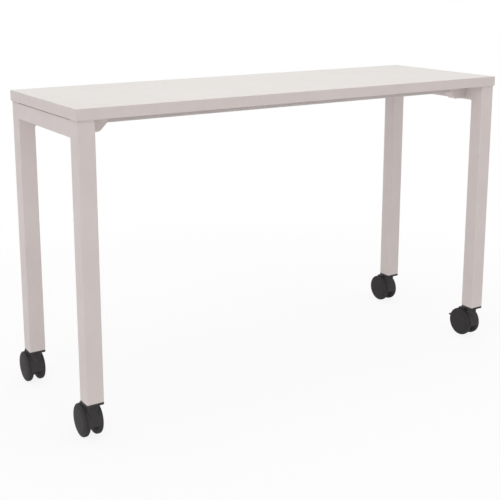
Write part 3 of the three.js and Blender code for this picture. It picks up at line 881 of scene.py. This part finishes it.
# Distance along the axle from the caster's middle, and radius, both in millimetres
WHEEL_BORE = [(21.4, 0.0), (21.4, 3.3), (6.0, 3.3)]
WHEEL_INSIDE = [(6.0, 26.4), (6.3, 27.2), (8.4, 33.6), (9.2, 35.2), (10.4, 36.6)]
WHEEL_TREAD = [(11.6, 37.5), (12.8, 37.9), (15.5, 38.0), (18.7, 37.85), (19.9, 37.3), (20.9, 36.1)]
WHEEL_SHOULDER = [(21.65, 34.3), (22.4, 31.2), (22.55, 30.5)]
WHEEL_GROOVE = [(22.1, 30.2), (22.1, 29.5)]
WHEEL_COVER = [(22.7, 29.2), (23.2, 26.0), (23.6, 20.5), (23.85, 14.0), (23.95, 9.4)]
WHEEL_HUB = [(23.6, 9.1), (23.6, 8.5), (24.0, 8.2), (24.0, 4.0), (24.0, 0.0)]
WHEEL_BACK = WHEEL_BORE + WHEEL_INSIDE + WHEEL_TREAD
WHEEL_FACE = WHEEL_SHOULDER + WHEEL_GROOVE + WHEEL_COVER + WHEEL_HUB
WHEEL_PROFILE = WHEEL_BACK + WHEEL_FACE


def wheel_plastic():
    """Hard black wheel: the named tread attribute dulls and greys what meets the floor."""
    material, tree, shader, place = new_finish("wheel_plastic", roughness=0.6, sheen_level=0.1)
    tread = add_node(tree, "ShaderNodeAttribute", attribute_name="tread")
    noise = add_node(tree, "ShaderNodeTexNoise", scale=140.0, detail=4.0)
    worn = add_node(tree, "ShaderNodeMath", operation="MULTIPLY")
    blend = add_node(tree, "ShaderNodeMix", data_type="RGBA")
    blend.inputs[MIX_FIRST].default_value = WHEEL_COLOUR
    blend.inputs[MIX_SECOND].default_value = TREAD_COLOUR
    gloss = add_node(tree, "ShaderNodeMapRange", to_min=0.56, to_max=0.80)
    tree.links.new(place, noise.inputs["Vector"])
    tree.links.new(noise.outputs["Fac"], worn.inputs[0])
    tree.links.new(tread.outputs["Fac"], worn.inputs[1])
    tree.links.new(worn.outputs["Value"], blend.inputs["Factor"])
    tree.links.new(blend.outputs[MIX_COLOUR], shader.inputs["Base Color"])
    tree.links.new(worn.outputs["Value"], gloss.inputs["Value"])
    tree.links.new(gloss.outputs["Result"], shader.inputs["Roughness"])
    pitted(tree, shader, place, scale=1300.0, depth=0.0002, strength=0.10)
    return material


wheel_finish = wheel_plastic()
wheel_turns = [360.0 * step / WHEEL_STEPS for step in range(WHEEL_STEPS)]
for corner in CORNERS:
    axle_low, axle_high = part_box(f"caster_axle_{corner}")
    middle = (axle_low + axle_high) / 2
    for place in ("outer", "inner"):
        low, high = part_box(f"wheel_{corner}_{place}")
        sign = 1.0 if (low.x + high.x) / 2 > middle.x else -1.0
        rings = []
        for across, radius in WHEEL_PROFILE:
            ring = [round_axle(middle, sign * across * MM, radius * MM, turn) for turn in wheel_turns]
            rings.append(ring)
        points, faces = join_loops(rings, closed=False)
        wheel = make_piece(f"roller_{corner}_{place}", points, faces, wheel_finish, WHEEL_CREASE)
        worn = wheel.data.attributes.new("tread", "FLOAT", "POINT")
        for vertex in wheel.data.vertices:
            radius = math.hypot(vertex.co.y - middle.y, vertex.co.z - middle.z)
            worn.data[vertex.index].value = 1.0 if radius > TREAD_RADIUS else 0.0
        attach(wheel, f"roller_{corner}_{place}")
        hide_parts(f"wheel_{corner}_{place}")


# A short brake lever turns on a pin in each front caster's web. Its pad stands out behind the wheels.
# It is moulded black like the hood, and tips down when it is pressed.
PEDAL_EASE = 0.19 * MM
for side in SIDES:
    pedal = eased_copy(f"brake_pedal_{side}", f"brake_tab_{side}", black, PEDAL_EASE)
    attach(pedal, f"pedal_{side}")
    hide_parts(f"brake_pedal_{side}")


# A plain white studio floor that keeps a soft contact shadow.
# It shows nearly white to the camera, and lights the table's underside as paper would.
FLOOR_SIZE = 40.0
FLOOR_LEVEL = -0.2 * MM
FLOOR_COLOUR = (0.92, 0.92, 0.92, 1.0)
FLOOR_GLOW = 0.88
GLOW_START = 0.7
GLOW_FULL = 1.7


def plainly_seen(tree):
    """1 for rays from the camera or off something glossy or clear, and 0 for rays that only light."""
    path = add_node(tree, "ShaderNodeLightPath")
    mirrored = add_node(tree, "ShaderNodeMath", operation="MAXIMUM")
    seen = add_node(tree, "ShaderNodeMath", operation="MAXIMUM")
    tree.links.new(path.outputs["Is Glossy Ray"], mirrored.inputs[0])
    tree.links.new(path.outputs["Is Transmission Ray"], mirrored.inputs[1])
    tree.links.new(path.outputs["Is Camera Ray"], seen.inputs[0])
    tree.links.new(mirrored.outputs["Value"], seen.inputs[1])
    return seen.outputs["Value"]


def floor_paper():
    """White paper that glows to the camera, more with distance from the table's middle."""
    material, tree, shader, place = new_finish("floor_paper", roughness=0.9)
    shader.inputs["Base Color"].default_value = FLOOR_COLOUR
    away = add_node(tree, "ShaderNodeVectorMath", operation="LENGTH")
    glow = add_node(tree, "ShaderNodeMapRange", interpolation_type="SMOOTHSTEP", to_min=FLOOR_GLOW,
                    from_min=GLOW_START, from_max=GLOW_FULL)
    part = add_node(tree, "ShaderNodeMath", operation="MULTIPLY")
    white = add_node(tree, "ShaderNodeEmission")
    mix = add_node(tree, "ShaderNodeMixShader")
    tree.links.new(place, away.inputs[0])
    tree.links.new(away.outputs["Value"], glow.inputs["Value"])
    tree.links.new(plainly_seen(tree), part.inputs[0])
    tree.links.new(glow.outputs["Result"], part.inputs[1])
    tree.links.new(part.outputs["Value"], mix.inputs["Fac"])
    tree.links.new(shader.outputs["BSDF"], mix.inputs[1])
    tree.links.new(white.outputs["Emission"], mix.inputs[2])
    tree.links.new(mix.outputs["Shader"], tree.nodes["Material Output"].inputs["Surface"])
    return material


half = FLOOR_SIZE / 2
floor_corners = [(-half, -half), (half, -half), (half, half), (-half, half)]
floor_mesh = bpy.data.meshes.new("studio_floor")
floor_mesh.from_pydata([(x, y, FLOOR_LEVEL) for x, y in floor_corners], [], [(0, 1, 2, 3)])
floor_mesh.materials.append(floor_paper())
floor = linked("studio_floor", floor_mesh)


# Plain soft studio light: an even room and three softboxes, overhead, left and, weaker, right.
# The room is white to the camera and to reflections.
ROOM_LIGHT = 0.52
world = bpy.data.worlds.new("studio_room")
bpy.context.scene.world = world
world.use_nodes = True
room = world.node_tree
backdrop = room.nodes["Background"]
backdrop.inputs["Color"].default_value = (1.0, 1.0, 1.0, 1.0)
room_level = add_node(room, "ShaderNodeMapRange", to_min=ROOM_LIGHT, to_max=1.0)
room.links.new(plainly_seen(room), room_level.inputs["Value"])
room.links.new(room_level.outputs["Result"], backdrop.inputs["Strength"])


def softbox(name, position, target, size, power):
    """A square area lamp aimed at a point."""
    lamp = bpy.data.lights.new(name, "AREA")
    lamp.shape = "SQUARE"
    lamp.size = size
    lamp.energy = power
    stand = linked(name, lamp)
    stand.location = position
    aim = Vector(target) - Vector(position)
    stand.rotation_euler = aim.to_track_quat("-Z", "Y").to_euler()


softbox("overhead_softbox", position=(0.0, 0.0, 3.2), target=(0.0, 0.0, 0.0), size=3.0, power=40.0)
softbox("left_softbox", position=(-5.1, -2.9, 2.7), target=(0.0, 0.0, 0.4), size=3.2, power=60.0)
softbox("right_softbox", position=(2.4, -4.0, 1.8), target=(0.2, 0.0, 0.4), size=2.4, power=11.5)


# The camera stands in front and to the left, a little above the board, and looks down with a long lens.
# A small downward shift of the lens keeps the legs nearer upright, as the photograph has them.
CAMERA_PLACE = (-1.3372, -2.0258, 1.0017)
CAMERA_YAW = 32.51
CAMERA_PITCH = -11.78
CAMERA_LENS = 68.86
CAMERA_SHIFT = (0.0037, -0.15)
SENSOR = 36.0
lens = bpy.data.cameras.new("camera")
lens.sensor_width = SENSOR
lens.lens = CAMERA_LENS
lens.shift_x, lens.shift_y = CAMERA_SHIFT
camera = linked("camera", lens)
camera.location = CAMERA_PLACE
camera.rotation_euler = (math.radians(90.0 + CAMERA_PITCH), 0.0, math.radians(-CAMERA_YAW))
bpy.context.scene.camera = camera
bpy.context.scene.view_settings.view_transform = "Standard"
